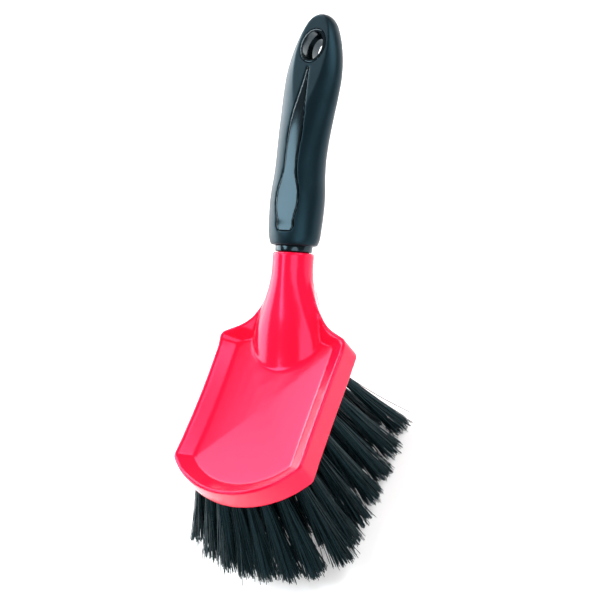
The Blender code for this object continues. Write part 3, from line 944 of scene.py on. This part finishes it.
def bend_filaments(mesh, root, direction, longer, number):
    """Fans the filaments of one tuft out from its hole, each with its own lean, length and random tone, the
    lightest of which are painted highlights.
    """
    values = settings().bristles
    count = values.filaments
    dice = np.random.default_rng(SEED + number)
    across = Vector((0.0, 1.0, 0.0)).cross(direction).normalized()
    axes = np.array([across, across.cross(direction), direction])

    # Where each filament starts in the hole, and the clump that it belongs to
    index = np.arange(count)
    spread = np.sqrt((index + 0.5) / count)
    angle = index * GOLDEN_ANGLE + dice.uniform(0, 6.28)
    spot = np.stack([spread * np.cos(angle), spread * np.sin(angle)], axis=1)
    start = spot * values.root_radius
    centres = dice.uniform(-0.8, 0.8, (CLUMPS, 2))
    member = np.argmin(np.linalg.norm(spot[:, None] - centres, axis=2), axis=1)
    clumps = [spot[member == clump] for clump in range(CLUMPS)]
    middle = np.array([clump.mean(axis=0) if len(clump) else (0.0, 0.0) for clump in clumps])

    # Where it ends and how long it is; a few stand away from their tuft
    gather = dice.uniform(0.0, 0.35, CLUMPS)[member][:, None]
    end = spot + (middle[member] - spot) * gather + dice.normal(0.0, 0.16, (count, 2))
    end *= values.tip_radius
    free = values.free_length + longer
    length = free - np.abs(dice.normal(0.0, 1.3 * MM, count)) - (dice.uniform(0.0, 2.2, CLUMPS) * MM)[member]
    loose = dice.random(count) < LOOSE_SHARE
    end[loose] *= dice.uniform(1.15, 1.7, (loose.sum(), 1))
    sway = dice.normal(0.0, 0.45 * MM, (count, 2))

    # The points of every filament, along its length and then sideways
    co = np.empty(len(mesh.vertices) * 3, np.float32)
    mesh.vertices.foreach_get("co", co)
    co = co.reshape(count, -1, 3).astype(float)
    t = co[:, :, 2]
    run = t * (length + ROOT_DEPTH)[:, None] - ROOT_DEPTH
    share = np.clip(run / length[:, None], 0.0, None)
    side = start[:, None, :] + (end - start)[:, None, :] * (share**1.6)[:, :, None]
    side += sway[:, None, :] * (np.sin(share * math.pi))[:, :, None]
    radius = values.filament_radius * (1.0 - 0.15 * share)
    side += co[:, :, :2] * radius[:, :, None]
    world = np.array(root + ORIGIN) + side @ axes[:2] + run[:, :, None] * axes[2]

    # A filament that would reach the ground is squeezed to stay above it
    top = root.z + ORIGIN.z
    low = np.minimum(world[:, :, 2].min(axis=1), GROUND_GAP)
    below = world[:, :, 2] < top
    squeezed = top + (world[:, :, 2] - top) * ((top - GROUND_GAP) / (top - low))[:, None]
    world[:, :, 2] = np.where(below, squeezed, world[:, :, 2])
    mesh.vertices.foreach_set("co", world.astype(np.float32).ravel())
    # A random tone for each filament; the lightest ones are painted highlights
    tone_and_highlight = np.repeat(dice.random(count) ** 1.6, co.shape[1])
    for name, data in (("tone_and_highlight", tone_and_highlight), ("along", t.ravel())):
        attribute = mesh.attributes.new(name, "FLOAT", "POINT")
        attribute.data.foreach_set("value", data.astype(np.float32))
    mesh.update()


class WHEELBRUSH_OT_tufts(bpy.types.Operator):
    """Build the bristle tufts, each a bundle of separate filaments"""

    bl_idname = "wheel_brush.tufts"
    bl_label = "Bristle tufts"

    def execute(self, context):
        values = context.scene.wheel_brush.bristles
        material = bristle_nylon()
        bundle = filament_bundle(values.filaments)
        for number, (row, column, root, direction, longer) in enumerate(tuft_places()):
            mesh = bundle.copy()
            bend_filaments(mesh, root, direction, longer, number)
            tuft = bpy.data.objects.new(f"bristles_r{row}_c{column}", mesh)
            context.scene.collection.objects.link(tuft)
            finish_piece(tuft, material, "bristle", f"tuft_r{row}_c{column}", sharp=60.0)
        bpy.data.meshes.remove(bundle)
        return {"FINISHED"}


# ---------------------------------------------------------------- stage


def soft_light(name, towards, distance, size, glow, colour):
    """A rectangular soft light that faces the brush from a direction; glow is how bright its face looks."""
    light = bpy.data.lights.new(name, "AREA")
    light.shape = "RECTANGLE"
    light.size, light.size_y = size
    light.energy = glow * math.pi * size[0] * size[1]
    light.color = colour
    lamp = bpy.data.objects.new(name, light)
    direction = Vector(towards).normalized()
    lamp.location = LIGHT_TARGET + direction * distance
    lamp.rotation_mode = "QUATERNION"
    lamp.rotation_quaternion = direction.to_track_quat("Z", "Y")
    bpy.context.scene.collection.objects.link(lamp)


class WHEELBRUSH_OT_stage(bpy.types.Operator):
    """Build the floor, the lights and the camera"""

    bl_idname = "wheel_brush.stage"
    bl_label = "Stage"

    def execute(self, context):
        scene = context.scene
        values = scene.wheel_brush.studio
        bm = bmesh.new()
        bmesh.ops.create_grid(bm, x_segments=8, y_segments=8, size=FLOOR_SIZE)
        mesh = bpy.data.meshes.new("floor")
        bm.to_mesh(mesh)
        bm.free()
        mesh.materials.append(studio_floor())
        floor = bpy.data.objects.new("floor", mesh)
        scene.collection.objects.link(floor)
        world = bpy.data.worlds.new("studio")
        world.use_nodes = True
        background = world.node_tree.nodes["Background"]
        background.inputs["Color"].default_value = (*WHITE, 1.0)
        background.inputs["Strength"].default_value = values.surround
        scene.world = world
        for light in LIGHTS:
            soft_light(*light)
        self.add_camera(scene, values.lens)
        scene.view_settings.view_transform = "Standard"
        scene.view_settings.look = "None"
        return {"FINISHED"}

    def add_camera(self, scene, lens):
        azimuth, elevation, roll = (math.radians(angle) for angle in CAMERA_ANGLES)
        flat = math.cos(elevation)
        back = Vector((math.sin(azimuth) * flat, -math.cos(azimuth) * flat, math.sin(elevation)))
        level = Vector((math.cos(azimuth), math.sin(azimuth), 0.0))
        right = level * math.cos(roll) + back.cross(level) * math.sin(roll)
        data = bpy.data.cameras.new("camera")
        data.lens = lens
        data.sensor_width = SENSOR_WIDTH
        camera = bpy.data.objects.new("camera", data)
        turn = Matrix((right, back.cross(right), back)).transposed()
        camera.matrix_world = Matrix.Translation(ORIGIN + CAMERA_PLACE) @ turn.to_4x4()
        scene.collection.objects.link(camera)
        scene.camera = camera


# ---------------------------------------------------------------- add-on


class WHEELBRUSH_PT_panel(bpy.types.Panel):
    """Sizes and colours of the brush, and the steps that build it"""

    bl_idname = "WHEELBRUSH_PT_panel"
    bl_label = "Wheel brush"
    bl_space_type = "VIEW_3D"
    bl_region_type = "UI"
    bl_category = "Wheel brush"

    def draw(self, context):
        brush = context.scene.wheel_brush
        for group in (brush.head, brush.handle, brush.bristles, brush.studio):
            box = self.layout.box()
            for name in group.__annotations__:
                box.prop(group, name)
        for operator in OPERATORS:
            self.layout.operator(operator.bl_idname)


OPERATORS = (
    WHEELBRUSH_OT_head,
    WHEELBRUSH_OT_core,
    WHEELBRUSH_OT_grip,
    WHEELBRUSH_OT_tufts,
    WHEELBRUSH_OT_stage,
)
CLASSES = (
    HeadSettings,
    HandleSettings,
    BristleSettings,
    StudioSettings,
    BrushSettings,
    *OPERATORS,
    WHEELBRUSH_PT_panel,
)


def register():
    for cls in CLASSES:
        bpy.utils.register_class(cls)
    bpy.types.Scene.wheel_brush = PointerProperty(type=BrushSettings)


def unregister():
    del bpy.types.Scene.wheel_brush
    for cls in reversed(CLASSES):
        bpy.utils.unregister_class(cls)


def main():
    register()
    bpy.ops.wheel_brush.head()
    bpy.ops.wheel_brush.core()
    bpy.ops.wheel_brush.grip()
    bpy.ops.wheel_brush.tufts()
    bpy.ops.wheel_brush.stage()


if __name__ == "__main__":
    main()
